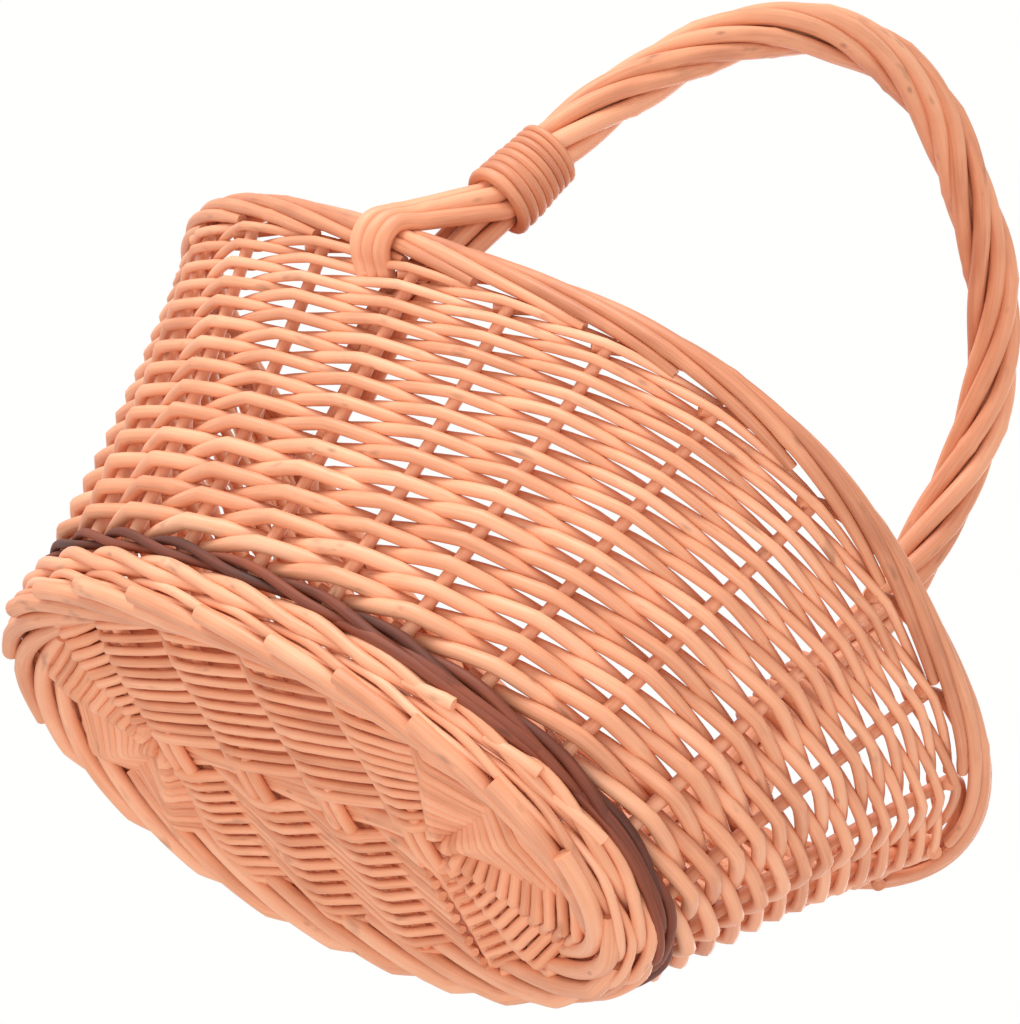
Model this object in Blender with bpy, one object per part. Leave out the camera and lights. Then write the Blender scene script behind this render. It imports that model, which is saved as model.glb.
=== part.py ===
"""Wicker foraging basket: an oval base on a laid foot, a woven flaring side under a rolled border,
and a bow handle of twisted rods. Metres, +Z up, origin under the middle of the base."""

import math

import bmesh
import bpy
import numpy as np
from mathutils import Matrix, Vector

# Clearance between pieces that touch
FIT = 0.0003

# Foot: its centre outline, its section, and the flat strip that it stands on
FOOT_HALF_LENGTH = 0.165
FOOT_HALF_WIDTH = 0.0935
FOOT_EXPONENT = 2.15
FOOT_BAND_HALF = 0.0078
FOOT_HEIGHT = 0.0115
FOOT_FLAT_HALF = 0.0036
FOOT_LAY_DEPTH = 0.0012

# Side: the outline where it leaves the foot, and how far it sags inwards between foot and border
SIDE_END_OVERHANG = 0.006
SIDE_FLANK_OVERHANG = 0.0035
SIDE_HALF_LENGTH = FOOT_HALF_LENGTH + SIDE_END_OVERHANG
SIDE_HALF_WIDTH = FOOT_HALF_WIDTH + SIDE_FLANK_OVERHANG
SIDE_EXPONENT = 2.1
SIDE_SAG_SHARE = 0.18
UPSETT_SHARE = 0.2
SIDE_SEAT = 0.0009

# Border: its centre outline, its height at the sides and its rise towards both ends
END_FLARE = 0.028
FLANK_FLARE = 0.0575
RIM_HALF_LENGTH = FOOT_HALF_LENGTH + END_FLARE
RIM_HALF_WIDTH = FOOT_HALF_WIDTH + FLANK_FLARE
RIM_EXPONENT = 2.58
RIM_HEIGHT = 0.152
RIM_RISE = 0.0154
RIM_RADIUS = 0.0066
RIM_LAY_DEPTH = 0.0014
RIM_STRAND_COUNT = 4

# Stakes and the rods woven round them
STAKE_COUNT = 23
FIRST_STAKE_SHARE = 0.57
STAKE_RADIUS = 0.0025
WEAVER_BUTT_RADIUS = 0.0024
WEAVER_TIP_RADIUS = 0.0015
BESIDE_STAKE_SHARE = 0.6
STAKE_COVER = 0.0009
INNER_REACH = 0.0021
WALE_RADIUS = 0.0021
LIGHT_WALE_TOP_SHARE = 0.062
DARK_WALE_TOP_SHARE = 0.135
RANDING_ROW_COUNT = 31
RANDING_TAPER_SHARE = 0.235
WALE_ROW_COUNT = 2
BAND_GAP_SHARE = 0.003

# Base: a woven panel on four pairs of cross sticks, pierced by four long sticks
PANEL_BOTTOM = 0.0034
PANEL_SKIN = 0.0014
PANEL_THICKNESS = 0.0091
PANEL_RELIEF = 0.0019
PANEL_HOLLOW = 0.0036
PANEL_TOP = PANEL_BOTTOM + PANEL_THICKNESS
# Each ring of the panel: its place from the slath to the edge, its share of the relief, its height
PANEL_RINGS = (
    (0, 0, PANEL_TOP), (0, 0, PANEL_BOTTOM), (0.06, 1, PANEL_BOTTOM), (0.5, 1, PANEL_BOTTOM),
    (0.94, 1, PANEL_BOTTOM), (1, 0, PANEL_BOTTOM), (1, 0, PANEL_TOP),
)
SLATH_HALF = 0.0085
CROSS_STICK_RADIUS = 0.0034
CROSS_STICK_CENTRE_X = -0.005
CROSS_PAIR_PITCH = 0.050
CROSS_PAIR_COUNT = 4
CROSS_PAIR_GAP = 0.0052
STICK_SIDE_COUNT = 8
LONG_STICK_COUNT = 4
LONG_STICK_RADIUS = 0.0019
STICK_EDGE_MARGIN = 0.004
CHANNEL_END = 0.0006
CUT_OVERRUN = 0.005
FAN_START_MARGIN = 0.008
FAN_ANGLE = math.radians(62)

# Handle: a bow core with six rods twisted round it, in a rounded arch across the middle
HANDLE_INSIDE_RIM = 0.011
HANDLE_HALF_SPAN = RIM_HALF_WIDTH - HANDLE_INSIDE_RIM
HANDLE_RISE = 0.233
HANDLE_EXPONENT = 2.73
CORE_RADIUS = 0.0031
HANDLE_ROD_RADIUS = 0.0027
HANDLE_ROD_COUNT = 6
HANDLE_TWIST_STEP_COUNT = 33
SPLIT_ABOVE_RIM = 0.040
LEG_FOOT_SHARE = 0.52
LEG_TOP_SHARE = 0.88
LEG_STAGGER = 0.008
LEG_PITCH = 0.0064
LEG_DRIFT = 0.004
HOOK_START = math.radians(58)
HOOK_DROP = 0.011
HOOK_STEP_COUNT = 4
TWIST_POINTS_PER_TURN = 7
LEG_POINT_STEP = 0.014

# Lashing: one rod wound round each end of the twist
LASHING_ROD_RADIUS = 0.0018
LASHING_LOOP_COUNT = 7
LASHING_PITCH = 0.0043
LASHING_RISE = 0.004

OUTLINE_SAMPLE_COUNT = 720
DENSE_SAMPLE_COUNT = 7200
LOOP_POINT_COUNT = 24
HALVING_COUNT = 40

WILLOW = (0.70, 0.30, 0.155)
PALE_WILLOW = (0.73, 0.40, 0.25)
DARK_WILLOW = (0.115, 0.040, 0.028)


def clear_scene():
    for obj in list(bpy.data.objects):
        bpy.data.objects.remove(obj)


def willow(name, colour, roughness):
    material = bpy.data.materials.new(name)
    material.use_nodes = True
    shader = material.node_tree.nodes["Principled BSDF"]
    shader.inputs["Base Color"].default_value = (*colour, 1)
    shader.inputs["Roughness"].default_value = roughness
    shader.inputs["Metallic"].default_value = 0
    material.diffuse_color = (*colour, 1)
    return material


def add_mesh(name, mesh_edit, material):
    """Turns a bmesh into an object of its own, faces outwards and round parts smooth."""
    bmesh.ops.recalc_face_normals(mesh_edit, faces=mesh_edit.faces)
    mesh = bpy.data.meshes.new(name)
    mesh_edit.to_mesh(mesh)
    mesh_edit.free()
    mesh.shade_smooth()
    mesh.set_sharp_from_angle(angle=math.radians(50))
    if material:
        mesh.materials.append(material)
    obj = bpy.data.objects.new(name, mesh)
    bpy.context.scene.collection.objects.link(obj)
    return obj


def add_rod(name, points, radius, material):
    """A round rod along a polyline, with its ends cut square."""
    curve = bpy.data.curves.new(name, "CURVE")
    curve.dimensions = "3D"
    curve.bevel_depth = radius
    curve.bevel_resolution = 1
    curve.use_fill_caps = True
    spline = curve.splines.new("POLY")
    spline.points.add(len(points) - 1)
    for spline_point, point in zip(spline.points, points):
        spline_point.co = (*point, 1)
    spline.use_smooth = True
    curve.materials.append(material)
    obj = bpy.data.objects.new(name, curve)
    bpy.context.scene.collection.objects.link(obj)
    return obj


def hide_cutter(cutter):
    cutter.hide_render = True
    cutter.display_type = "WIRE"
    cutter.hide_set(True)


def cut(obj, cutter):
    modifier = obj.modifiers.new("Cut " + cutter.name, "BOOLEAN")
    modifier.operation = "DIFFERENCE"
    modifier.object = cutter
    modifier.solver = "EXACT"


# Outlines of the basket

def oval(half_length, half_width, exponent):
    """A rounded oval from +X counter-clockwise, sampled at equal steps along its edge."""
    angle = np.linspace(0, 2 * math.pi, DENSE_SAMPLE_COUNT + 1)
    cosine = np.cos(angle)
    sine = np.sin(angle)
    x = half_length * np.sign(cosine) * np.abs(cosine) ** (2 / exponent)
    y = half_width * np.sign(sine) * np.abs(sine) ** (2 / exponent)
    travelled = np.concatenate([[0], np.cumsum(np.hypot(np.diff(x), np.diff(y)))])
    wanted = np.linspace(0, travelled[-1], OUTLINE_SAMPLE_COUNT + 1)
    return np.stack([np.interp(wanted, travelled, x), np.interp(wanted, travelled, y)], axis=1)


FOOT_OUTLINE = oval(FOOT_HALF_LENGTH, FOOT_HALF_WIDTH, FOOT_EXPONENT)
SIDE_OUTLINE = oval(SIDE_HALF_LENGTH, SIDE_HALF_WIDTH, SIDE_EXPONENT)
RIM_OUTLINE = oval(RIM_HALF_LENGTH, RIM_HALF_WIDTH, RIM_EXPONENT)


def at_share(outline, share):
    """The outline's point at this share of the way round."""
    place = (share % 1) * OUTLINE_SAMPLE_COUNT
    index = int(place)
    start = outline[index]
    return start + (outline[index + 1] - start) * (place - index)


def stake_share(index):
    return (index + FIRST_STAKE_SHARE) / STAKE_COUNT


def rim_height(x):
    return RIM_HEIGHT + RIM_RISE * (x / RIM_HALF_LENGTH) ** 2


def rim_point(share):
    x, y = at_share(RIM_OUTLINE, share)
    return Vector((x, y, rim_height(x)))


def foot_point(share):
    x, y = at_share(FOOT_OUTLINE, share)
    return Vector((x, y, FOOT_HEIGHT / 2))


def side_point(share, level):
    """A point on the stakes' surface, level 0 on the foot and level 1 under the border."""
    foot = at_share(FOOT_OUTLINE, share)
    low = at_share(SIDE_OUTLINE, share)
    high = at_share(RIM_OUTLINE, share)
    spread = level - SIDE_SAG_SHARE * level * (1 - level)
    tuck = max(0, 1 - level / UPSETT_SHARE) ** 2
    flat = low + (high - low) * spread + (foot - low) * tuck
    bottom = FOOT_HEIGHT + SIDE_SEAT
    top = rim_height(high[0]) - RIM_RADIUS - SIDE_SEAT
    return Vector((flat[0], flat[1], bottom + (top - bottom) * level))


def along_and_outward(point_at, share):
    """Unit directions along an outline and level outwards from it, at this share."""
    step = 0.5 / OUTLINE_SAMPLE_COUNT
    along = (point_at(share + step) - point_at(share - step)).normalized()
    outward = Vector((along.y, -along.x, 0)).normalized()
    return along, outward


def side_offset(share, level, across, outward):
    """The stakes' surface moved along the weave and square out of it."""
    here = side_point(share, level)
    along, _ = along_and_outward(lambda other: side_point(other, level), share)
    climb = side_point(share, min(1, level + UPSETT_SHARE)) - side_point(share, max(0, level - UPSETT_SHARE))
    square_out = along.cross(climb).normalized()
    return here + along * across + square_out * outward


# Woven bands of the side, with an open slot on the inside for every stake

def band_level(low, high, share, taper):
    """Rows thin out upwards, as the rods taper."""
    return low + (high - low) * (share + taper * share * (1 - share))


def inner_levels_of(low, high, rows, taper):
    """The levels of a band's inside, where the stakes bend with it."""
    steps = 1 + rows // 12
    return [band_level(low, high, step / steps, taper) for step in range(steps + 1)]


def woven_band(name, low, high, rows, taper, butt_radius, tip_radius, is_over, material):
    """A closed band of weave between two levels: rods bulge out over a stake or pass behind it."""
    slot_half = STAKE_RADIUS + FIT
    slot_corners = (
        (-slot_half, -INNER_REACH), (-slot_half, slot_half), (slot_half, slot_half), (slot_half, -INNER_REACH),
    )
    levels = [band_level(low, high, row / rows, taper) for row in range(rows + 1)]
    radii = [butt_radius + (tip_radius - butt_radius) * row / rows for row in range(rows + 1)]
    inner_levels = inner_levels_of(low, high, rows, taper)
    edit = bmesh.new()
    outer = []
    inner = []
    for stake in range(STAKE_COUNT):
        share = stake_share(stake)
        between = share + 0.5 / STAKE_COUNT
        outer.append([
            edit.verts.new(side_offset(
                share, level, 0, STAKE_RADIUS + 2 * radius if is_over(stake, row) else slot_half + STAKE_COVER,
            ))
            for row, (level, radius) in enumerate(zip(levels, radii))
        ])
        outer.append([
            edit.verts.new(side_offset(between, level, 0, radius * BESIDE_STAKE_SHARE))
            for level, radius in zip(levels, radii)
        ])
        for across, outward in slot_corners:
            inner.append([edit.verts.new(side_offset(share, level, across, outward)) for level in inner_levels])
        inner.append([edit.verts.new(side_offset(between, level, 0, -tip_radius)) for level in inner_levels])
    for columns in (outer, inner):
        for index, column in enumerate(columns):
            following = columns[(index + 1) % len(columns)]
            for row in range(len(column) - 1):
                corners = (column[row], following[row], following[row + 1], column[row + 1])
                edit.faces.new((corners[0], corners[1], corners[2]))
                edit.faces.new((corners[0], corners[2], corners[3]))
    per_stake = len(slot_corners) + 1
    for stake in range(STAKE_COUNT):
        for end in (0, -1):
            before, here, after = (outer[(2 * stake + step) % len(outer)][end] for step in (-1, 0, 1))
            slot = [inner[(per_stake * stake + step) % len(inner)][end] for step in range(-1, per_stake)]
            edit.faces.new((before, slot[0], slot[1]))
            edit.faces.new((before, slot[1], slot[2]))
            edit.faces.new((before, slot[2], here))
            edit.faces.new((here, slot[2], slot[3]))
            edit.faces.new((here, slot[3], after))
            edit.faces.new((slot[3], slot[4], after))
            edit.faces.new((slot[4], slot[5], after))
    return add_mesh(name, edit, material)


def alternate_rows(stake, row):
    return row % 2 == 1


def over_two_behind_one(stake, row):
    return (stake + row) % 3 != 0


# Laid rings: the foot and the border

def laid_ring(name, point_at, section, sections_per_stake, turned_corners, material):
    """A ring swept round an outline. section(step) gives the corners (outwards, upwards) at a step."""
    edit = bmesh.new()
    steps = STAKE_COUNT * sections_per_stake
    loops = []
    for step in range(steps):
        share = stake_share(step / sections_per_stake)
        along, outward = along_and_outward(point_at, share)
        upward = outward.cross(along)
        centre = point_at(share)
        loops.append([edit.verts.new(centre + outward * out + upward * up) for out, up in section(step)])
    corners = len(loops[0])
    for step, loop in enumerate(loops):
        following = loops[(step + 1) % steps]
        shift = turned_corners if step == steps - 1 else 0
        for corner in range(corners):
            beyond = (corner + 1) % corners
            edit.faces.new((
                loop[corner],
                loop[beyond],
                following[(beyond + shift) % corners],
                following[(corner + shift) % corners],
            ))
    return add_mesh(name, edit, material)


RIM_SECTIONS_PER_STAKE = 3
RIM_CORNER_COUNT = 2 * RIM_STRAND_COUNT
# The strands have turned this many corners when the ring closes
RIM_CLOSING_CORNERS = -2 * STAKE_COUNT % RIM_CORNER_COUNT


def rim_section(step):
    """Strands and the hollows between them, turned by one strand for each stake."""
    turn = step * 2 * math.pi / RIM_STRAND_COUNT / RIM_SECTIONS_PER_STAKE
    corners = []
    for corner in range(RIM_CORNER_COUNT):
        angle = corner * 2 * math.pi / RIM_CORNER_COUNT - turn
        reach = RIM_RADIUS - (RIM_LAY_DEPTH if corner % 2 else 0)
        corners.append((reach * math.cos(angle), reach * math.sin(angle)))
    return corners


FOOT_SECTIONS_PER_STAKE = 3
FOOT_CORNER_COUNT = 6


def foot_section(step):
    """A flat underside, with rods laid slanting over the rest."""
    corners = [(-FOOT_FLAT_HALF, -FOOT_HEIGHT / 2), (FOOT_FLAT_HALF, -FOOT_HEIGHT / 2)]
    for corner in range(FOOT_CORNER_COUNT):
        around = corner / (FOOT_CORNER_COUNT - 1)
        angle = math.radians(-25) + around * math.radians(230)
        wave = math.cos(2 * math.pi * (step / FOOT_SECTIONS_PER_STAKE - around))
        lay = FOOT_LAY_DEPTH * (1 - wave) / 2
        out = (FOOT_BAND_HALF - lay) * math.cos(angle)
        up = (FOOT_HEIGHT / 2 - lay) * math.sin(angle)
        corners.append((out, up))
    return corners


# Base

STICK_HEIGHT = PANEL_BOTTOM + PANEL_SKIN + FIT + CROSS_STICK_RADIUS


def cross_stick_places():
    """X of each cross stick: pairs side by side, spread along the base."""
    places = []
    for pair in range(CROSS_PAIR_COUNT):
        middle = CROSS_STICK_CENTRE_X + (pair - (CROSS_PAIR_COUNT - 1) / 2) * CROSS_PAIR_PITCH
        half = CROSS_PAIR_GAP / 2 + CROSS_STICK_RADIUS
        places += [middle - half, middle + half]
    return places


def panel_half_size():
    inset = FOOT_BAND_HALF + FIT
    return FOOT_HALF_LENGTH - inset, FOOT_HALF_WIDTH - inset


def panel_edge(x):
    """Half width of the panel at this X."""
    half_length, half_width = panel_half_size()
    return half_width * (1 - abs(x / half_length) ** FOOT_EXPONENT) ** (1 / FOOT_EXPONENT)


def long_stick_y(index):
    pitch = 2 * LONG_STICK_RADIUS + FIT
    return (index - (LONG_STICK_COUNT - 1) / 2) * pitch


def long_stick_points(index):
    """Straight through the cross sticks, then fanned out over both ends of the base."""
    half_length, half_width = panel_half_size()
    places = cross_stick_places()
    y = long_stick_y(index)
    fan = 2 * (index / (LONG_STICK_COUNT - 1)) - 1
    angle = fan * FAN_ANGLE
    points = []
    for end, pivot in ((-1, places[0] - FAN_START_MARGIN), (1, places[-1] + FAN_START_MARGIN)):
        reach = 0
        step = STICK_EDGE_MARGIN / 4
        while True:
            x = pivot + end * (reach + step) * math.cos(angle)
            aside = y + (reach + step) * math.sin(angle)
            room = half_length - STICK_EDGE_MARGIN
            if abs(x) > room or abs(aside) > panel_edge(x) - STICK_EDGE_MARGIN:
                break
            reach += step
        tip = Vector((pivot + end * reach * math.cos(angle), y + reach * math.sin(angle), STICK_HEIGHT))
        knee = Vector((pivot, y, STICK_HEIGHT))
        points += [tip, knee] if end < 0 else [knee, tip]
    return points


def channel(name, points, half_width, top):
    """A cutter along a stick, from just under it up through the panel."""
    edit = bmesh.new()
    heads = [(after - before).normalized() for before, after in zip(points, points[1:])]
    loops = []
    for index, point in enumerate(points):
        arriving = heads[max(0, index - 1)]
        leaving = heads[min(len(heads) - 1, index)]
        ahead = (arriving + leaving).normalized()
        aside = Vector((-ahead.y, ahead.x, 0)) * half_width / ahead.dot(leaving)
        end_run = {0: -CHANNEL_END, len(points) - 1: CHANNEL_END}.get(index, 0)
        centre = Vector((point.x, point.y, 0)) + ahead * end_run
        low = Vector((0, 0, point.z - half_width))
        high = Vector((0, 0, top))
        corners = (centre - aside + low, centre + aside + low, centre + aside + high, centre - aside + high)
        loops.append([edit.verts.new(corner) for corner in corners])
    for loop, following in zip(loops, loops[1:]):
        for corner in range(4):
            beyond = (corner + 1) % 4
            edit.faces.new((loop[corner], loop[beyond], following[beyond], following[corner]))
    edit.faces.new(loops[0])
    edit.faces.new(loops[-1])
    cutter = add_mesh(name, edit, None)
    hide_cutter(cutter)
    return cutter


def panel_spokes():
    """Inner and outer end of each line of sticks under the panel, counter-clockwise from +X."""
    places = cross_stick_places()
    fans = []
    for index in range(LONG_STICK_COUNT):
        tips = long_stick_points(index)
        fans.append([(knee, (tip - knee).normalized()) for tip, knee in ((tips[0], tips[1]), (tips[3], tips[2]))])
    middles = [(left + right) / 2 for left, right in zip(places[::2], places[1::2])]
    starts = [(knee + ahead * SLATH_HALF).xy for (_, (knee, ahead)) in fans]
    starts += [Vector((x, SLATH_HALF)) for x in reversed(middles)]
    starts += [(knee + ahead * SLATH_HALF).xy for ((knee, ahead), _) in reversed(fans)]
    starts += [Vector((x, -SLATH_HALF)) for x in middles]
    heads = [ahead.xy for (_, (_, ahead)) in fans]
    heads += [Vector((0, 1)) for _ in middles]
    heads += [ahead.xy for ((_, ahead), _) in reversed(fans)]
    heads += [Vector((0, -1)) for _ in middles]
    return [(start, start + head * reach_to_edge(start, head)) for start, head in zip(starts, heads)]


def inside_panel(point):
    """Below 1 inside the panel's outline, 1 on it and more outside."""
    half_length, half_width = panel_half_size()
    return abs(point.x / half_length) ** FOOT_EXPONENT + abs(point.y / half_width) ** FOOT_EXPONENT


def reach_to_edge(start, head):
    """How far the panel's edge is from here in this direction."""
    near = 0
    far = FOOT_HALF_LENGTH
    for _ in range(HALVING_COUNT):
        middle = (near + far) / 2
        if inside_panel(start + head * middle) < 1:
            near = middle
        else:
            far = middle
    return near


def base_panel(material):
    """The woven panel round the slath: it bulges down over the sticks and is hollow between them."""
    spokes = panel_spokes()
    lines = []
    for index, (inner, outer) in enumerate(spokes):
        next_inner, next_outer = spokes[(index + 1) % len(spokes)]
        middle = (outer + next_outer) / 2
        on_edge = middle / inside_panel(middle) ** (1 / FOOT_EXPONENT)
        lines.append((inner, outer, -PANEL_RELIEF))
        lines.append(((inner + next_inner) / 2, on_edge, PANEL_HOLLOW))
    edit = bmesh.new()
    rings = []
    for share, relief_share, height in PANEL_RINGS:
        rings.append([
            edit.verts.new((*(inner + (outer - inner) * share), height + relief * relief_share))
            for inner, outer, relief in lines
        ])
    for ring, following in zip(rings, rings[1:] + rings[:1]):
        for column in range(len(lines)):
            beyond = (column + 1) % len(lines)
            edit.faces.new((ring[column], ring[beyond], following[beyond], following[column]))
    return add_mesh("base_weave", edit, material)


def slit_stick(name, x, material):
    """A cross stick, slit in the middle for the long sticks to pass through."""
    edit = bmesh.new()
    half = panel_edge(x) - STICK_EDGE_MARGIN
    bmesh.ops.create_cone(
        edit,
        cap_ends=True,
        segments=STICK_SIDE_COUNT,
        radius1=CROSS_STICK_RADIUS,
        radius2=CROSS_STICK_RADIUS,
        depth=2 * half,
        matrix=Matrix.Translation((x, 0, STICK_HEIGHT)) @ Matrix.Rotation(math.pi / 2, 4, "X"),
    )
    stick = add_mesh(name, edit, material)
    slit = bmesh.new()
    slit_half = LONG_STICK_RADIUS + FIT
    slit_reach = long_stick_y(LONG_STICK_COUNT - 1) + slit_half
    bmesh.ops.create_cube(slit, size=1)
    bmesh.ops.scale(slit, vec=(3 * CROSS_STICK_RADIUS, 2 * slit_reach, 2 * slit_half), verts=slit.verts)
    bmesh.ops.translate(slit, vec=(x, 0, STICK_HEIGHT), verts=slit.verts)
    cutter = add_mesh(name + "_slit", slit, None)
    hide_cutter(cutter)
    cut(stick, cutter)
    return stick


# Handle

def leg_point(near, level):
    """The core's centre on the inside of the side, under a handle end. near is -1 or 1 along Y."""
    share = 0.75 if near < 0 else 0.25
    return side_offset(share, level, 0, -(STAKE_RADIUS + FIT + CORE_RADIUS))


def arch_point(angle):
    y = -HANDLE_HALF_SPAN * math.copysign(abs(math.cos(angle)) ** (2 / HANDLE_EXPONENT), math.cos(angle))
    return Vector((0, y, RIM_HEIGHT + HANDLE_RISE * abs(math.sin(angle)) ** (2 / HANDLE_EXPONENT)))


def smooth_through(points, per_span):
    """A Catmull-Rom curve through the points."""
    padded = [2 * points[0] - points[1], *points, 2 * points[-1] - points[-2]]
    result = []
    for before, start, end, after in zip(padded, padded[1:], padded[2:], padded[3:]):
        for step in range(per_span):
            t = step / per_span
            result.append(0.5 * (
                2 * start
                + (end - before) * t
                + (2 * before - 5 * start + 4 * end - after) * t * t
                + (3 * start - before - 3 * end + after) * t * t * t
            ))
    result.append(points[-1].copy())
    return result


def handle_line():
    """The handle's centre line, from one foot inside the basket to the other."""
    first_angle = 0.035
    arch = [arch_point(first_angle + (math.pi - 2 * first_angle) * step / 40) for step in range(41)]
    levels = [LEG_FOOT_SHARE + (LEG_TOP_SHARE - LEG_FOOT_SHARE) * step / 3 for step in range(4)]
    near_leg = [leg_point(-1, level) for level in levels]
    far_leg = [leg_point(1, level) for level in reversed(levels)]
    return smooth_through(near_leg + arch + far_leg, 6)


class Line:
    """A polyline read by distance along it, in the plane X = 0."""

    def __init__(self, points):
        self.points = np.array([tuple(point) for point in points])
        steps = np.linalg.norm(np.diff(self.points, axis=0), axis=1)
        self.travelled = np.concatenate([[0], np.cumsum(steps)])
        self.length = self.travelled[-1]

    def at(self, distance):
        return Vector([np.interp(distance, self.travelled, self.points[:, axis]) for axis in range(3)])

    def outward(self, distance):
        """Square to the line, away from the middle of the arch."""
        reach = HANDLE_ROD_RADIUS
        ahead = self.at(min(self.length, distance + reach)) - self.at(max(0, distance - reach))
        return Vector((0, -ahead.z, ahead.y)).normalized()

    def distance_at_height(self, height, end):
        heights = self.points[:, 2]
        middle = len(heights) // 2
        if end < 0:
            return float(np.interp(height, heights[:middle], self.travelled[:middle]))
        return float(np.interp(height, heights[middle:][::-1], self.travelled[middle:][::-1]))


HANDLE = Line(handle_line())
SPLIT_HEIGHT = RIM_HEIGHT + SPLIT_ABOVE_RIM
NEAR_SPLIT = HANDLE.distance_at_height(SPLIT_HEIGHT, -1)
FAR_SPLIT = HANDLE.distance_at_height(SPLIT_HEIGHT, 1)
TWIST_RADIUS = (CORE_RADIUS + FIT + HANDLE_ROD_RADIUS) / math.cos(math.pi / TWIST_POINTS_PER_TURN)
SLOT_ANGLE = 2 * math.pi / HANDLE_ROD_COUNT


def twisted_point(distance, slot):
    """The centre of a rod that leaves the near foot in this slot, at this distance along the handle."""
    progress = min(1, max(0, (distance - NEAR_SPLIT) / (FAR_SPLIT - NEAR_SPLIT)))
    angle = (slot + 0.5) * SLOT_ANGLE + progress * HANDLE_TWIST_STEP_COUNT * SLOT_ANGLE
    outward = HANDLE.outward(distance)
    return HANDLE.at(distance) + TWIST_RADIUS * (outward * math.cos(angle) + Vector((math.sin(angle), 0, 0)))


def hermite(start, leave, end, arrive, steps):
    """Points between start and end, without them, on a curve with these end directions."""
    reach = (end - start).length
    result = []
    for step in range(1, steps):
        t = step / steps
        result.append(
            start * (2 * t**3 - 3 * t**2 + 1)
            + leave * reach * (t**3 - 2 * t**2 + t)
            + end * (3 * t**2 - 2 * t**3)
            + arrive * reach * (t**3 - t**2)
        )
    return result


# Slots of the twist whose rods pass outside the border, from -X to +X, and those that go inside
OUTER_SLOTS = (4, 5, 0)
INNER_SLOTS = (1, 2, 3)


def outer_leg(split, start, slot, end):
    """From the twist over the border and down outside it, to a cut end. end is -1 near and 1 far."""
    across = (OUTER_SLOTS.index(slot) - 1) * LEG_PITCH + LEG_DRIFT
    reach = RIM_RADIUS + FIT + HANDLE_ROD_RADIUS
    down = (HANDLE.at(split + end * reach) - HANDLE.at(split)).normalized()

    def hook(angle):
        out = end * (RIM_HALF_WIDTH + reach * math.cos(angle))
        return Vector((across, out, RIM_HEIGHT + reach * math.sin(angle)))

    over = Vector((0, end * math.sin(HOOK_START), -math.cos(HOOK_START)))
    arc = [hook(HOOK_START * (1 - step / HOOK_STEP_COUNT)) for step in range(HOOK_STEP_COUNT + 1)]
    tail = arc[-1] - Vector((0, 0, HOOK_DROP))
    return hermite(start, down, arc[0], over, HOOK_STEP_COUNT) + arc + [tail]


def inner_leg(split, slot, start_slot, end):
    """Down the inside of the basket beside the core, each rod a little shorter than the last."""
    cut_end = LEG_STAGGER * (1 + INNER_SLOTS.index(slot))
    last = cut_end if end < 0 else HANDLE.length - cut_end
    steps = math.ceil(abs(last - split) / LEG_POINT_STEP)
    return [twisted_point(split + (last - split) * step / steps, start_slot) for step in range(1, steps + 1)]


def leg(split, start_slot, turned, end):
    start = twisted_point(split, start_slot)
    slot = (start_slot + turned) % HANDLE_ROD_COUNT
    if slot in OUTER_SLOTS:
        return outer_leg(split, start, slot, end)
    return inner_leg(split, slot, start_slot, end)


def handle_rod_points(slot):
    turns = HANDLE_TWIST_STEP_COUNT / HANDLE_ROD_COUNT
    steps = round(turns * TWIST_POINTS_PER_TURN)
    twist = [
        twisted_point(NEAR_SPLIT + (FAR_SPLIT - NEAR_SPLIT) * step / steps, slot)
        for step in range(steps + 1)
    ]
    near = leg(NEAR_SPLIT, slot, 0, -1)
    far = leg(FAR_SPLIT, slot, HANDLE_TWIST_STEP_COUNT, 1)
    return near[::-1] + twist + far


def core_points():
    steps = math.ceil(HANDLE.length / LEG_POINT_STEP)
    return [HANDLE.at(HANDLE.length * step / steps) for step in range(steps + 1)]


def lashing_points(start):
    """One rod wound round the twist in loops side by side, with short straight ends."""
    radius = TWIST_RADIUS + HANDLE_ROD_RADIUS + FIT + LASHING_ROD_RADIUS
    steps = LASHING_LOOP_COUNT * LOOP_POINT_COUNT
    wound = []
    for step in range(steps + 1):
        distance = start + LASHING_PITCH * step / LOOP_POINT_COUNT
        angle = 2 * math.pi * step / LOOP_POINT_COUNT
        aside = HANDLE.outward(distance) * math.cos(angle) + Vector((math.sin(angle), 0, 0))
        wound.append(HANDLE.at(distance) + radius * aside)
    straight = 2 * LASHING_ROD_RADIUS
    first = wound[0] + (wound[0] - wound[1]).normalized() * straight
    last = wound[-1] + (wound[-1] - wound[-2]).normalized() * straight
    return [first] + wound + [last]


def least_gap_to_itself(points, radius):
    """The least clear distance between loops, measured between points over half a loop apart."""
    places = np.array([tuple(point) for point in points])
    apart = LOOP_POINT_COUNT // 2
    least = min(
        np.linalg.norm(places[index + apart:] - places[index], axis=1).min()
        for index in range(len(places) - apart)
    )
    return least - 2 * radius


def build_base(pale):
    panel = base_panel(pale)
    top = PANEL_TOP + CUT_OVERRUN
    for index, x in enumerate(cross_stick_places()):
        slit_stick(f"cross_stick_{index + 1}", x, pale)
        half = panel_edge(x) - STICK_EDGE_MARGIN
        ends = [Vector((x, -half, STICK_HEIGHT)), Vector((x, half, STICK_HEIGHT))]
        cut(panel, channel(f"cross_channel_{index + 1}", ends, CROSS_STICK_RADIUS + FIT, top))
    for index in range(LONG_STICK_COUNT):
        points = long_stick_points(index)
        add_rod(f"long_stick_{index + 1}", points, LONG_STICK_RADIUS, pale)
        cut(panel, channel(f"long_channel_{index + 1}", points, LONG_STICK_RADIUS + FIT, top))
    laid_ring("foot_border", foot_point, foot_section, FOOT_SECTIONS_PER_STAKE, 0, pale)


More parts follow.
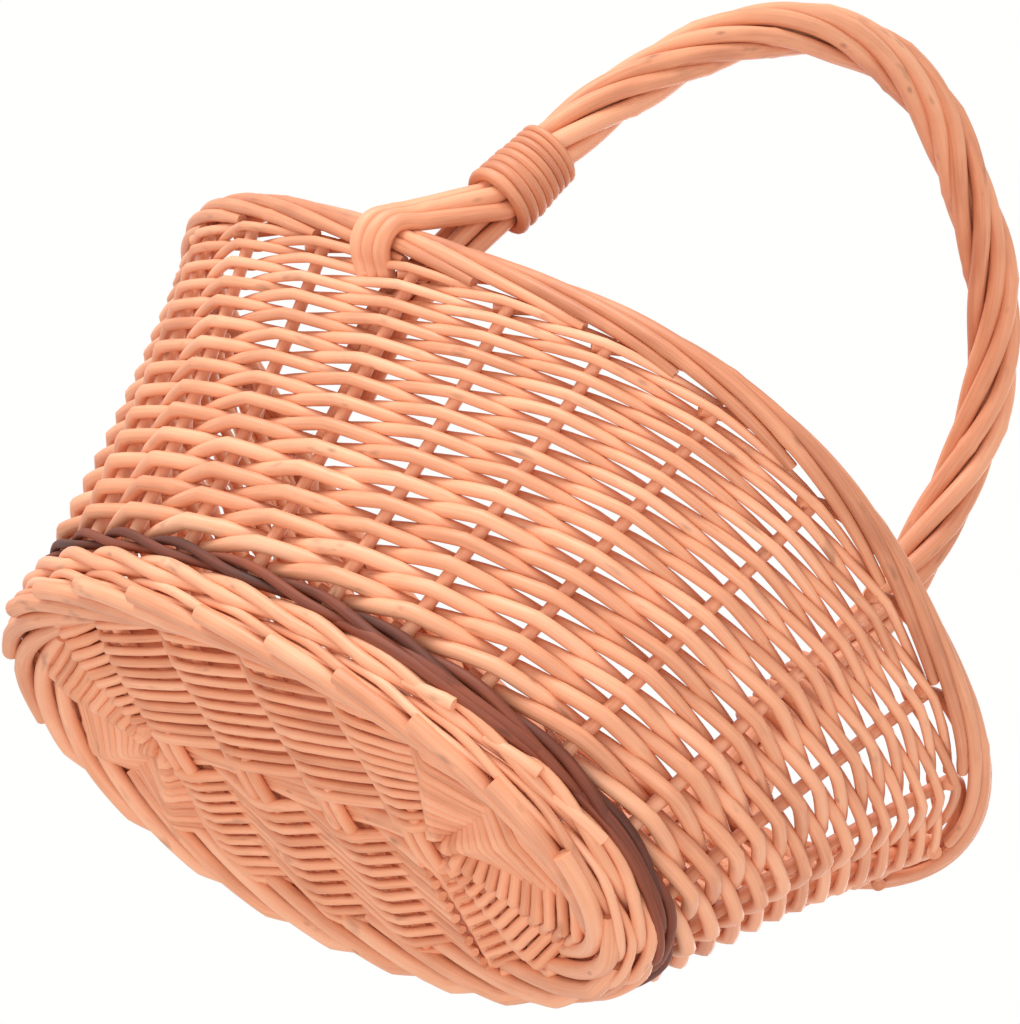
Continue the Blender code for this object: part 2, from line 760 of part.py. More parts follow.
LIGHT_WALE = (0, LIGHT_WALE_TOP_SHARE, WALE_ROW_COUNT, 0)
DARK_WALE = (LIGHT_WALE_TOP_SHARE + BAND_GAP_SHARE, DARK_WALE_TOP_SHARE, WALE_ROW_COUNT, 0)
RANDING = (DARK_WALE_TOP_SHARE + BAND_GAP_SHARE, 1, RANDING_ROW_COUNT, RANDING_TAPER_SHARE)


def build_side(natural, dark):
    woven_band("light_wale", *LIGHT_WALE, WALE_RADIUS, WALE_RADIUS, over_two_behind_one, natural)
    woven_band("dark_wale", *DARK_WALE, WALE_RADIUS, WALE_RADIUS, over_two_behind_one, dark)
    woven_band("side_weave", *RANDING, WEAVER_BUTT_RADIUS, WEAVER_TIP_RADIUS, alternate_rows, natural)
    levels = [0, DARK_WALE[0], *inner_levels_of(*RANDING)]
    for stake in range(STAKE_COUNT):
        points = [side_point(stake_share(stake), level) for level in levels]
        add_rod(f"stake_{stake + 1:02d}", points, STAKE_RADIUS, natural)
    laid_ring("rim_border", rim_point, rim_section, RIM_SECTIONS_PER_STAKE, RIM_CLOSING_CORNERS, natural)


def build_handle(natural):
    add_rod("handle_core", core_points(), CORE_RADIUS, natural)
    for slot in range(HANDLE_ROD_COUNT):
        add_rod(f"handle_rod_{slot + 1}", handle_rod_points(slot), HANDLE_ROD_RADIUS, natural)
    length = LASHING_LOOP_COUNT * LASHING_PITCH
    starts = {"near": NEAR_SPLIT + LASHING_RISE, "far": FAR_SPLIT - LASHING_RISE - length}
    for side, start in starts.items():
        points = lashing_points(start)
        add_rod(f"lashing_{side}", points, LASHING_ROD_RADIUS, natural)
        gap = least_gap_to_itself(points, LASHING_ROD_RADIUS)
        print(f"lashing_{side}: least gap to itself {gap * 1000:.2f} mm")


clear_scene()
NATURAL = willow("willow", WILLOW, 0.5)
PALE = willow("pale_willow", PALE_WILLOW, 0.6)
DARK = willow("dark_willow", DARK_WILLOW, 0.45)
build_base(PALE)
build_side(NATURAL, DARK)
build_handle(NATURAL)
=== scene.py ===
import math
import random

import bpy
import numpy as np
from mathutils import Matrix, Vector


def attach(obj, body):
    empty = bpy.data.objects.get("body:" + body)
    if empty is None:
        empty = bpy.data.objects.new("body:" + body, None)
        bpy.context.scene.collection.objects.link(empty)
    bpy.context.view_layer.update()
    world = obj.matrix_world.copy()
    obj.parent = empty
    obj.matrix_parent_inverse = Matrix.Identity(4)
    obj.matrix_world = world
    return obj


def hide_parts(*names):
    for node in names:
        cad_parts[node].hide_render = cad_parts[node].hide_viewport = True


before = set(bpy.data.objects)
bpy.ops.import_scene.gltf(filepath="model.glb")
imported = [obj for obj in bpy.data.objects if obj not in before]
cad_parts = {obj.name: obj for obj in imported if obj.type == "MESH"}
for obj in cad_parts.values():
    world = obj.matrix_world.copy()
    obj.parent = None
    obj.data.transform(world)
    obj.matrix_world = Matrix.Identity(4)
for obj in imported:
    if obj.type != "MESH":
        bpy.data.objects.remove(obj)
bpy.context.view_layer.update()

# Camera. The basket is tipped back to show its base, so the camera looks up at it
# from below, in front of one long side and a little towards one end.
camera_data = bpy.data.cameras.new("camera")
camera_data.sensor_fit = "HORIZONTAL"
camera_data.sensor_width = 36
camera_data.lens = 288.92
camera_data.clip_end = 50
camera = bpy.data.objects.new("camera", camera_data)
camera.matrix_world = Matrix((
    (0.63786575, -0.20167845, 0.74327188, 2.309124),
    (0.40233039, -0.73567825, -0.54489243, -1.721905),
    (0.65670202, 0.64660909, -0.38812259, -1.067054),
    (0, 0, 0, 1),
))
bpy.context.scene.collection.objects.link(camera)
bpy.context.scene.camera = camera
bpy.context.scene.view_settings.view_transform = "Standard"


class Socket:
    """A node's output that can stand in a Python sum, which then adds the Math nodes."""

    def __init__(self, nodes, socket):
        self.nodes = nodes
        self.socket = socket

    def maths(self, operation, *values):
        return self.nodes.node("ShaderNodeMath", {"operation": operation}, dict(enumerate(values)))

    def __add__(self, other):
        return self.maths("ADD", self, other)

    def __radd__(self, other):
        return self.maths("ADD", other, self)

    def __sub__(self, other):
        return self.maths("SUBTRACT", self, other)

    def __rsub__(self, other):
        return self.maths("SUBTRACT", other, self)

    def __mul__(self, other):
        return self.maths("MULTIPLY", self, other)

    def __rmul__(self, other):
        return self.maths("MULTIPLY", other, self)


class Nodes:
    """Adds nodes to the tree of a material, a world or a Geometry Nodes modifier."""

    def __init__(self, tree):
        self.tree = tree

    def node(self, kind, settings={}, inputs={}, output=0):
        """Adds a node: first its settings, then its sockets' values or links. Returns one output."""
        node = self.tree.nodes.new(kind)
        for name, value in settings.items():
            if name == "stops":
                while len(node.color_ramp.elements) < len(value):
                    node.color_ramp.elements.new(1)
                for element, (position, colour) in zip(node.color_ramp.elements, value):
                    element.position = position
                    element.color = (*colour, 1)
            else:
                setattr(node, name, value)
        for name, value in inputs.items():
            self.feed(node.inputs[name], value)
        return Socket(self, node.outputs[output])

    def feed(self, socket, value):
        if isinstance(value, Socket):
            self.tree.links.new(value.socket, socket)
        else:
            socket.default_value = value


# Floor. It is pale and is seen from above only, where it keeps the basket's shadow.
# The camera under it sees the base against the same white, and light reaches the base.
floor_material = bpy.data.materials.new("floor")
floor_material.use_nodes = True
floor_nodes = Nodes(floor_material.node_tree)
seen_from_above = floor_nodes.node("ShaderNodeLightPath", output="Is Camera Ray") * (
    1 - floor_nodes.node("ShaderNodeNewGeometry", output="Backfacing")
)
floor_nodes.feed(
    floor_material.node_tree.nodes["Material Output"].inputs["Surface"],
    floor_nodes.node("ShaderNodeMixShader", {}, {
        0: seen_from_above,
        1: floor_nodes.node("ShaderNodeBsdfTransparent"),
        2: floor_nodes.node("ShaderNodeBsdfDiffuse", {}, {"Color": (0.9, 0.9, 0.89, 1)}),
    }),
)
FLOOR_HALF = 6
floor_mesh = bpy.data.meshes.new("floor")
floor_mesh.from_pydata(
    [(x * FLOOR_HALF, y * FLOOR_HALF, 0) for x, y in ((-1, -1), (1, -1), (1, 1), (-1, 1))],
    [],
    [(0, 1, 2, 3)],
)
floor_mesh.materials.append(floor_material)
floor = bpy.data.objects.new("floor", floor_mesh)
bpy.context.scene.collection.objects.link(floor)

# Light. White light from all round at half strength, behind which the camera sees plain
# white, and three large soft lamps: one high in front, one low at the end, one behind.
world = bpy.data.worlds.new("studio")
bpy.context.scene.world = world
world.use_nodes = True
world_nodes = Nodes(world.node_tree)
world_nodes.feed(
    world.node_tree.nodes["World Output"].inputs["Surface"],
    world_nodes.node("ShaderNodeMixShader", {}, {
        0: world_nodes.node("ShaderNodeLightPath", output="Is Camera Ray"),
        1: world_nodes.node("ShaderNodeBackground", {}, {"Color": (1, 1, 1, 1), "Strength": 0.9}),
        2: world_nodes.node("ShaderNodeBackground", {}, {"Color": (1, 1, 0.99, 1), "Strength": 1}),
    }),
)
for name, place, size, power in (
    ("key", (-0.6, -2.4, 1.0), 1.8, 53),
    ("fill", (2.2, -1.2, -1.6), 1.8, 24),
    ("back", (-1.2, 2.2, 1.6), 1.8, 22),
):
    light_data = bpy.data.lights.new(name, "AREA")
    light_data.shape = "DISK"
    light_data.size = size
    light_data.energy = power
    light = bpy.data.objects.new(name, light_data)
    light.location = place
    towards_basket = Vector((0, 0, 0.12)) - Vector(place)
    light.rotation_euler = towards_basket.to_track_quat("-Z", "Y").to_euler()
    bpy.context.scene.collection.objects.link(light)


# Long sticks. Four thin willow sticks side by side run through slits in the cross sticks,
# and fan out past the last pair, so that the base can be woven round its two ends.
def willow(name, deep, warm, pale, roughness):
    """Willow: a tone of its own for each rod, streaks along it, and small dark knots."""
    material = bpy.data.materials.new(name)
    material.use_nodes = True
    nodes = Nodes(material.node_tree)
    space = nodes.node("ShaderNodeAttribute", {"attribute_name": "rod_space"}, output="Vector")
    tone = nodes.node("ShaderNodeAttribute", {"attribute_name": "rod_tone"}, output="Fac")

    def noise(scale, detail):
        stretched = nodes.node("ShaderNodeVectorMath", {"operation": "MULTIPLY"}, {0: space, 1: scale})
        return nodes.node("ShaderNodeTexNoise", {}, {"Vector": stretched, "Scale": 1, "Detail": detail})

    streak = noise((900, 900, 26), 3)
    blotch = noise((90, 90, 34), 2)
    fibre = noise((2600, 2600, 110), 2)
    stain = nodes.node("ShaderNodeMapRange", {}, {
        0: noise((210, 210, 60), 2), 1: 0.6, 2: 0.78, 3: 0, 4: 0.6,
    })
    shade = 0.6 * tone + 0.9 * (blotch - 0.5) + 0.8 * (streak - 0.5) + 0.2
    colour = nodes.node("ShaderNodeValToRGB", {"stops": ((0, deep), (0.5, warm), (1, pale))}, {0: shade})
    marked = nodes.node("ShaderNodeVectorMath", {"operation": "MULTIPLY"}, {0: space, 1: (110, 110, 48)})
    speck = nodes.node("ShaderNodeTexVoronoi", {}, {
        "Vector": marked, "Scale": 1, "Randomness": 1,
    }, "Distance")
    some = nodes.node("ShaderNodeMapRange", {}, {0: blotch, 1: 0.47, 2: 0.6, 3: 0, 4: 1})
    knot = nodes.node("ShaderNodeMapRange", {}, {0: speck, 1: 0.04, 2: 0.14, 3: 0.5, 4: 0}) * some
    knotted = nodes.node("ShaderNodeMix", {"data_type": "RGBA"}, {
        0: knot.maths("MAXIMUM", knot, stain * some),
        6: colour,
        7: tuple(0.34 * part for part in deep) + (1,),
    }, 2)
    shader = material.node_tree.nodes["Principled BSDF"]
    nodes.feed(shader.inputs["Base Color"], knotted)
    nodes.feed(shader.inputs["Roughness"], roughness + 0.3 * (blotch - 0.5))
    bump = nodes.node("ShaderNodeBump", {}, {
        "Strength": 0.35, "Distance": 0.0004, "Height": 0.6 * streak + 0.3 * fibre + 0.5 * knot,
    })
    nodes.feed(shader.inputs["Normal"], bump)
    return material


BASE_WILLOW = willow("base_willow", (0.60, 0.215, 0.105), (0.82, 0.345, 0.18), (0.90, 0.44, 0.26), 0.6)


def rod_tree():
    """Sweeps a round rod along every path, a little uneven, with its knots swelling it."""
    tree = bpy.data.node_groups.new("willow_rods", "GeometryNodeTree")
    for name, kind in (
        ("Paths", "Geometry"), ("Sides", "Int"), ("Unevenness", "Float"), ("Knot swell", "Float"),
        ("Knot pitch", "Float"), ("Seed", "Float"), ("Finish", "Material"),
    ):
        tree.interface.new_socket(name, in_out="INPUT", socket_type="NodeSocket" + kind)
    tree.interface.new_socket("Rods", in_out="OUTPUT", socket_type="NodeSocketGeometry")
    nodes = Nodes(tree)
    given = tree.nodes.new("NodeGroupInput")

    def asked(name):
        return Socket(nodes, given.outputs[name])

    def read(name, data_type="FLOAT"):
        return nodes.node("GeometryNodeInputNamedAttribute", {"data_type": data_type}, {"Name": name})

    def store(geometry, name, value, data_type="FLOAT"):
        return nodes.node("GeometryNodeStoreNamedAttribute", {"data_type": data_type, "domain": "POINT"}, {
            "Geometry": geometry, "Name": name, "Value": value,
        })

    def vector(x, y, z):
        return nodes.node("ShaderNodeCombineXYZ", {}, {0: x, 1: y, 2: z})

    path = nodes.node("GeometryNodeMeshToCurve", {}, {"Mesh": asked("Paths")})
    along = nodes.node("GeometryNodeSplineParameter", output="Length")
    lot = read("rod_tone") * 57 + asked("Seed")
    wobble = nodes.node("ShaderNodeTexNoise", {}, {
        "Vector": vector(along * 40, lot, 0), "Scale": 1, "Detail": 1,
    }) - 0.5
    pitch = asked("Knot pitch")
    from_knot = along.maths("MODULO", along + lot * pitch, pitch) - pitch * 0.5
    knot = along.maths("MAXIMUM", 1 - along.maths("ABSOLUTE", from_knot) * 260, 0)
    radius = read("thickness") * (1 + asked("Unevenness") * wobble + asked("Knot swell") * knot)
    path = store(path, "rod_along", along)
    path = store(path, "rod_radius", radius)
    circle = nodes.node("GeometryNodeCurvePrimitiveCircle", {}, {"Resolution": asked("Sides"), "Radius": 1})
    circle = store(circle, "rod_ring", nodes.node("GeometryNodeInputPosition"), "FLOAT_VECTOR")
    rods = nodes.node("GeometryNodeCurveToMesh", {}, {
        "Curve": path, "Profile Curve": circle, "Scale": read("rod_radius"), "Fill Caps": True,
    })
    ring = nodes.node("ShaderNodeVectorMath", {"operation": "SCALE"}, {
        0: read("rod_ring", "FLOAT_VECTOR"), "Scale": read("rod_radius"),
    })
    place = nodes.node("ShaderNodeVectorMath", {"operation": "ADD"}, {
        0: ring, 1: vector(read("rod_tone") * 3.1, 0, read("rod_along") + read("rod_tone") * 9.7),
    })
    rods = store(rods, "rod_space", place, "FLOAT_VECTOR")
    for name in ("rod_along", "rod_radius", "rod_ring", "thickness"):
        rods = nodes.node("GeometryNodeRemoveAttribute", {}, {"Geometry": rods, "Name": name})
    rods = nodes.node("GeometryNodeSetShadeSmooth", {"domain": "FACE"}, {
        "Geometry": rods, "Shade Smooth": True,
    })
    edge_angle = nodes.node("GeometryNodeInputMeshEdgeAngle", output="Unsigned Angle")
    rods = nodes.node("GeometryNodeSetShadeSmooth", {"domain": "EDGE"}, {
        "Geometry": rods,
        "Selection": edge_angle.maths("GREATER_THAN", edge_angle, 0.9),
        "Shade Smooth": False,
    })
    rods = nodes.node("GeometryNodeSetMaterial", {}, {"Geometry": rods, "Material": asked("Finish")})
    rods = nodes.node("GeometryNodeRealizeInstances", {}, {"Geometry": rods})
    end = tree.nodes.new("NodeGroupOutput")
    nodes.feed(end.inputs["Rods"], rods)
    return tree


ROD_TREE = rod_tree()
KNOT_PITCH = 0.11
chance = random.Random(41)


def lay_rods(name, rods, finish, nodes, sides=10, unevenness=0.16, knot_swell=0.12):
    """Turns rods, each a path with its radius and tone, into one piece that stands for CAD nodes."""
    paths = bpy.data.meshes.new(name + "_paths")
    edges = []
    count = 0
    for path, radius, tone in rods:
        edges += [(count + step, count + step + 1) for step in range(len(path) - 1)]
        count += len(path)
    paths.from_pydata([tuple(point) for path, radius, tone in rods for point in path], edges, [])
    radii = np.concatenate([np.full(len(path), 1.0) * radius for path, radius, tone in rods])
    tones = np.concatenate([np.full(len(path), tone) for path, radius, tone in rods])
    for attribute, values in (("thickness", radii), ("rod_tone", tones)):
        paths.attributes.new(attribute, "FLOAT", "POINT").data.foreach_set("value", values)
    laid = bpy.data.objects.new(name + "_paths", paths)
    bpy.context.scene.collection.objects.link(laid)
    sweep = laid.modifiers.new("rods", "NODES")
    sweep.node_group = ROD_TREE
    sizes = {
        "Sides": sides, "Unevenness": unevenness, "Knot swell": knot_swell,
        "Knot pitch": KNOT_PITCH, "Seed": 3.0, "Finish": finish,
    }
    for item in ROD_TREE.interface.items_tree:
        if item.in_out == "INPUT" and item.name in sizes:
            sweep[item.identifier] = sizes[item.name]
    graph = bpy.context.evaluated_depsgraph_get()
    mesh = bpy.data.meshes.new_from_object(laid.evaluated_get(graph))
    bpy.data.objects.remove(laid)
    mesh.name = name
    piece = bpy.data.objects.new(name, mesh)
    bpy.context.scene.collection.objects.link(piece)
    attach(piece, "root")
    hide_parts(*nodes)


def through(places, values, at):
    """Smooth values at the places asked for, through the given ones."""
    places = np.asarray(places, float)
    values = np.asarray(values, float)
    slopes = np.gradient(values, places, axis=0)
    start = np.clip(np.searchsorted(places, at) - 1, 0, len(places) - 2)
    width = places[start + 1] - places[start]
    t = (at - places[start]) / width
    if values.ndim > 1:
        t = t[:, None]
        width = width[:, None]
    return (
        values[start] * (2 * t**3 - 3 * t**2 + 1)
        + slopes[start] * width * (t**3 - 2 * t**2 + t)
        + values[start + 1] * (3 * t**2 - 2 * t**3)
        + slopes[start + 1] * width * (t**3 - t**2)
    )


def smooth_path(points, per_span):
    """A smooth path through the points, spaced by their distance."""
    points = np.asarray(points, float)
    travelled = np.concatenate([[0], np.cumsum(np.linalg.norm(np.diff(points, axis=0), axis=1))])
    at = np.concatenate([
        np.linspace(start, end, per_span, endpoint=False) for start, end in zip(travelled, travelled[1:])
    ] + [travelled[-1:]])
    return through(travelled, points, at)


STICK_HEIGHT = 0.0085
STICK_PLACES = [middle + side * 0.0038 for middle in (-0.080, -0.032, 0.018, 0.068) for side in (-1, 1)]
FOOT_LENGTH, FOOT_WIDTH, FOOT_ROUNDING = 0.165, 0.0935, 2.15
PANEL_LENGTH, PANEL_WIDTH = 0.1569, 0.0854
PIVOTS = (-0.089, 0.077)
FAN_ANGLES = [math.radians(62) * share for share in (-1, -1 / 3, 1 / 3, 1)]


def panel_edge(x):
    """Half width of the woven base at this X."""
    return PANEL_WIDTH * max(0, 1 - abs(x / PANEL_LENGTH) ** FOOT_ROUNDING) ** (1 / FOOT_ROUNDING)


def fan_reach(pivot, start, angle, margin):
    """How far a fanned stick runs before it comes this near the edge of the base."""
    end = math.copysign(1, pivot)
    reach = 0
    while True:
        x = pivot + end * (reach + 0.001) * math.cos(angle)
        y = start + (reach + 0.001) * math.sin(angle)
        if abs(x) > PANEL_LENGTH - margin or abs(y) > panel_edge(x) - margin:
            return reach
        reach += 0.001


long_sticks = []
for index, angle in enumerate(FAN_ANGLES):
    y = (index - 1.5) * 0.0041
    left = fan_reach(PIVOTS[0], y, angle, 0.002)
    right = fan_reach(PIVOTS[1], y, angle, 0.002)
    corners = [
        (PIVOTS[0] - left * math.cos(angle), y + left * math.sin(angle), STICK_HEIGHT),
        (PIVOTS[0] - 0.012 * math.cos(angle), y + 0.012 * math.sin(angle), STICK_HEIGHT),
        (PIVOTS[0] + 0.012, y, STICK_HEIGHT),
        (0, y, STICK_HEIGHT),
        (PIVOTS[1] - 0.012, y, STICK_HEIGHT),
        (PIVOTS[1] + 0.012 * math.cos(angle), y + 0.012 * math.sin(angle), STICK_HEIGHT),
        (PIVOTS[1] + right * math.cos(angle), y + right * math.sin(angle), STICK_HEIGHT),
    ]
    long_sticks.append((smooth_path(corners, 6), 0.0022, chance.random()))
lay_rods(
    "slath_long_sticks", long_sticks, BASE_WILLOW,
    [f"long_stick_{index + 1}" for index in range(4)], unevenness=0.06,
)

# Cross sticks. Four pairs of thicker willow sticks. In the middle they are slit, and the
# long sticks pass through, so each is spread into two halves, one under and one over them.
cross_sticks = []
for x in STICK_PLACES:
    half = panel_edge(x) - 0.003
    along = np.array([-half, -0.030, -0.017, -0.009, 0, 0.009, 0.017, 0.030, half])
    spread = np.array([0, 0, 0.0012, 0.0034, 0.0040, 0.0034, 0.0012, 0, 0])
    tone = chance.random()
    for way in (-1, 1):
        corners = np.stack([0 * along + x, along, STICK_HEIGHT + way * (0.0004 + spread)], axis=1)
        cross_sticks.append((smooth_path(corners, 5), 0.0025, tone))
lay_rods(
    "slath_cross_sticks", cross_sticks, BASE_WILLOW,
    [f"cross_stick_{index + 1}" for index in range(8)], unevenness=0.06,
)

# Base weave. Pairs of thin peeled rods are twined round the sticks: at each stick one rod
# passes under it and the other over it, and they change places before the next.
PAIRING_ROWS = 12
PAIRING_RADIUS = 0.0019
OVER_STICK, UNDER_STICK = 0.0034, 0.0136
spokes = []
for x in STICK_PLACES[::-1]:
    spokes.append(((x, 0.0075), (x, panel_edge(x) - 0.001)))
for angle in FAN_ANGLES[::-1]:
    reach = fan_reach(PIVOTS[0], 0, angle, 0)
    spokes.append((
        (PIVOTS[0] - 0.008 * math.cos(angle), 0.008 * math.sin(angle)),
        (PIVOTS[0] - reach * math.cos(angle), reach * math.sin(angle)),
    ))
for x in STICK_PLACES:
    spokes.append(((x, -0.0075), (x, -panel_edge(x) + 0.001)))
for angle in FAN_ANGLES:
    reach = fan_reach(PIVOTS[1], 0, angle, 0)
    spokes.append((
        (PIVOTS[1] + 0.008 * math.cos(angle), 0.008 * math.sin(angle)),
        (PIVOTS[1] + reach * math.cos(angle), reach * math.sin(angle)),
    ))
spokes = np.array(spokes)
# The two sticks of a pair are passed together, so they share a turn
TURNS = [0, 0, 1, 1, 2, 2, 3, 3, 4, 5, 6, 7, 8, 8, 9, 9, 10, 10, 11, 11, 12, 13, 14, 15]
base_rods = []
for row in range(PAIRING_ROWS):
    for strand in range(2):
        share = (row + 0.5) / PAIRING_ROWS
        # The outer rows turn up a little, clear of the foot
        lift = 0.0042 * max(0, share - 0.72) / 0.28
        knots = []
        # The strand starts and ends above a stick, where its ends don't show from below
        begin = 1 if (TURNS[0] + row + strand) % 2 == 0 else 0
        for round_place in range(begin, begin + len(spokes) + 1):
            spoke = round_place % len(spokes)
            turn = TURNS[spoke] + (16 if round_place >= len(spokes) else 0)
            here = spokes[spoke][0] * (1 - share) + spokes[spoke][1] * share
            over = (turn + row + strand) % 2 == 0
            knots.append((here, over, turn))
        points = []
        for (start, over, turn), (end, _, next_turn) in zip(knots, knots[1:]):
            if turn == next_turn:
                height = OVER_STICK if over else UNDER_STICK
                for step in range(2):
                    t = step / 2
                    points.append((*(start * (1 - t) + end * t), height + lift))
                continue
            direction = (end - start) / np.linalg.norm(end - start)
            aside = np.array([-direction[1], direction[0]])
            for step in range(8):
                t = step / 8
                shift = 0.0012 * math.sin(math.pi * t) * (1 if over else -1)
                if over:
                    height = OVER_STICK + (UNDER_STICK - OVER_STICK) * t
                else:
                    height = UNDER_STICK + (OVER_STICK - UNDER_STICK) * max(0, (t - 0.5) / 0.5)
                here = start * (1 - t) + end * t + aside * shift
                points.append((*here, height + lift))
        path = smooth_path(points[:-1], 2)
        past_pivot = np.maximum(PIVOTS[0] - path[:, 0], path[:, 0] - PIVOTS[1])
        thickness = PAIRING_RADIUS * (1 + 0.28 * np.clip(past_pivot / 0.02, 0, 1))
        # The rods that bind the sticks first are the thickest
        fullness = 1.3 if row == 0 else chance.uniform(0.9, 1.1)
        base_rods.append((path, thickness * fullness, chance.random()))
lay_rods("base_pairing", base_rods, BASE_WILLOW, ["base_weave"], sides=8, unevenness=0.12)


# Stakes. Twenty-three uprights pushed into the base beside the sticks, bent up at the
# foot, and running up the side under the weave to the border.
STAKE_COUNT = 23
STAKE_RADIUS = 0.0026
SIDE_WILLOW = willow("side_willow", (0.62, 0.235, 0.118), (0.82, 0.36, 0.195), (0.90, 0.46, 0.275), 0.5)


def oval(half_length, half_width, rounding):
    """A rounded oval from +X counter-clockwise, at equal steps along its edge."""
    angle = np.linspace(0, 2 * math.pi, 7201)
    x = half_length * np.sign(np.cos(angle)) * np.abs(np.cos(angle)) ** (2 / rounding)
    y = half_width * np.sign(np.sin(angle)) * np.abs(np.sin(angle)) ** (2 / rounding)
    travelled = np.concatenate([[0], np.cumsum(np.hypot(np.diff(x), np.diff(y)))])
    wanted = np.linspace(0, travelled[-1], 721)
    return np.stack([np.interp(wanted, travelled, x), np.interp(wanted, travelled, y)], axis=1)


def uneven(outline, left, right, far_left, far_right):
    """The maker's oval is not quite even: its ends and far quarters are scaled a little."""
    x, y = outline[:, 0], outline[:, 1]
    lengths = np.where(x < 0, left, right)
    middle = (far_left + far_right) / 2
    widths = middle + (far_right - far_left) / 2 * np.clip(x / 0.1, -1, 1)
    return np.stack([x * lengths, y * np.where(y > 0, widths, 1)], axis=1)


FOOT_OVAL = uneven(oval(FOOT_LENGTH, FOOT_WIDTH, FOOT_ROUNDING), 1.015, 1.01, 0.98, 0.91)
SIDE_LENGTH, SIDE_WIDTH, SIDE_ROUNDING = 0.171, 0.097, 2.1
SIDE_OVAL = uneven(oval(SIDE_LENGTH, SIDE_WIDTH, SIDE_ROUNDING), 0.945, 0.985, 1, 0.935)
RIM_LENGTH, RIM_WIDTH, RIM_ROUNDING = 0.193, 0.151, 2.58
RIM_OVAL = uneven(oval(RIM_LENGTH, RIM_WIDTH, RIM_ROUNDING), 1.046, 0.969, 0.985, 1.03)
WALL_OVAL = uneven(RIM_OVAL, 0.968, 0.99, 1, 0.96)


def around(outline, share):
    """Points of an outline at these shares of the way round."""
    place = np.mod(share, 1) * 720
    return np.stack([np.interp(place, np.arange(721), outline[:, axis]) for axis in (0, 1)], axis=1)


RIM_HEIGHT = 0.152
RIM_RISE = 0.0154
SIDE_BOTTOM = 0.0124
UNDER_BORDER = 0.0075


def rim_height(x):
    """Height of the border at this X: it rises to both ends and dips a little at the right."""
    dip = 0.002 * np.exp(-((x - 0.065) / 0.05) ** 2)
    return RIM_HEIGHT + RIM_RISE * (x / RIM_LENGTH) ** 2 - dip


def side(share, level):
    """Points on the stakes' surface, level 0 on the foot and 1 under the border."""
    foot = around(FOOT_OVAL, share)
    low = around(SIDE_OVAL, share)
    high = around(WALL_OVAL, share)
    level = np.asarray(level)[:, None]
    spread = level - 0.24 * level * (1 - level)
    tuck = np.maximum(0, 1 - level / 0.2) ** 2
    flat = low + (high - low) * spread + (foot - low) * tuck
    top = rim_height(high[:, :1]) - UNDER_BORDER
    return np.hstack([flat, SIDE_BOTTOM + (top - SIDE_BOTTOM) * level])


def unit(vectors):
    return vectors / np.linalg.norm(vectors, axis=1)[:, None]


def beside_stakes(share, level, outward):
    """Points this far out from the stakes' surface, negative on its inside."""
    share = np.asarray(share, float)
    level = np.asarray(level, float)
    along = side(share + 0.0007, level) - side(share - 0.0007, level)
    climb = side(share, np.minimum(1, level + 0.1)) - side(share, np.maximum(0, level - 0.1))
    return side(share, level) + unit(np.cross(along, climb)) * np.asarray(outward)[:, None]


# How far the stakes on the near side stand off their even places
DRIFT_STAKES = (0, 13, 15, 16, 17, 18, 19, 20, 21, 23)
DRIFT = (0, 0, -0.15, -0.10, 0.03, 0.13, 0.09, 0.08, 0.09, 0)


def stake_share(stake):
    return (stake + 0.57 + np.interp(np.mod(stake, STAKE_COUNT), DRIFT_STAKES, DRIFT)) / STAKE_COUNT


stakes = []
for stake in range(STAKE_COUNT):
    levels = np.linspace(0, 1, 25)
    shares = np.full(25, stake_share(stake))
    path = beside_stakes(shares, levels, np.zeros(25))
    stakes.append((path, np.linspace(0.0029, 0.0025, 25), chance.random()))
lay_rods(
    "side_stakes", stakes, SIDE_WILLOW,
    [f"stake_{stake + 1:02d}" for stake in range(STAKE_COUNT)], sides=12, unevenness=0.08,
)


# Foot. One thick peeled rod from each stake is laid along the edge of the base. It starts
# with its cut end outside, slants down under the edge and runs in below the base.
def laid_round(outline, height, shares, outs, ups):
    """Points out from and up from an outline at this height."""
    shares = np.asarray(shares, float)
    centre = around(outline, shares)
    along = around(outline, shares + 0.0007) - around(outline, shares - 0.0007)
    outward = unit(np.stack([along[:, 1], -along[:, 0]], axis=1))
    flat = centre + outward * np.asarray(outs)[:, None]
    return np.hstack([flat, (height(centre[:, 0]) + ups)[:, None]])


FOOT_TURN = np.array([
    (-0.3, 0.0034, -0.0015), (0.3, -0.0002, -0.0020), (1.0, -0.0062, -0.0016), (1.6, -0.0112, 0.0002),
    (2.2, -0.0150, 0.0030), (2.6, -0.0165, 0.0052),
])
FOOT_HEIGHT = 0.00575
FAR_STAKES = 11
foot_rods = []
for stake in range(STAKE_COUNT):
    at = np.linspace(-0.3, 2.6, 40)
    # On the far side the cut ends are tucked in above their neighbours
    tucked = (np.maximum(0, 0.3 - at) / 0.6) if stake < FAR_STAKES else 0 * at
    outs = through(FOOT_TURN[:, 0], FOOT_TURN[:, 1], at) - 0.0040 * tucked
    ups = through(FOOT_TURN[:, 0], FOOT_TURN[:, 2], at) + 0.0050 * tucked
    shares = stake_share(stake) + at / STAKE_COUNT
    path = laid_round(FOOT_OVAL, lambda x: FOOT_HEIGHT, shares, outs, ups)
    thickness = np.interp(at, [-0.3, 1.2, 2.6], [0.0037, 0.0036, 0.0028])
    foot_rods.append((path, thickness, chance.random()))
lay_rods(
    "foot_rods", foot_rods, SIDE_WILLOW, ["foot_border"],
    sides=14, unevenness=0.08, knot_swell=0.05,
)


# Wales. Above the foot two rows of three light rods are twined round the stakes, each rod
# outside two of them and inside the third, and on them a row of unpeeled dark willow.
DARK_WILLOW = willow(
    "dark_willow", (0.045, 0.011, 0.005), (0.155, 0.031, 0.012), (0.28, 0.062, 0.024), 0.65,
)


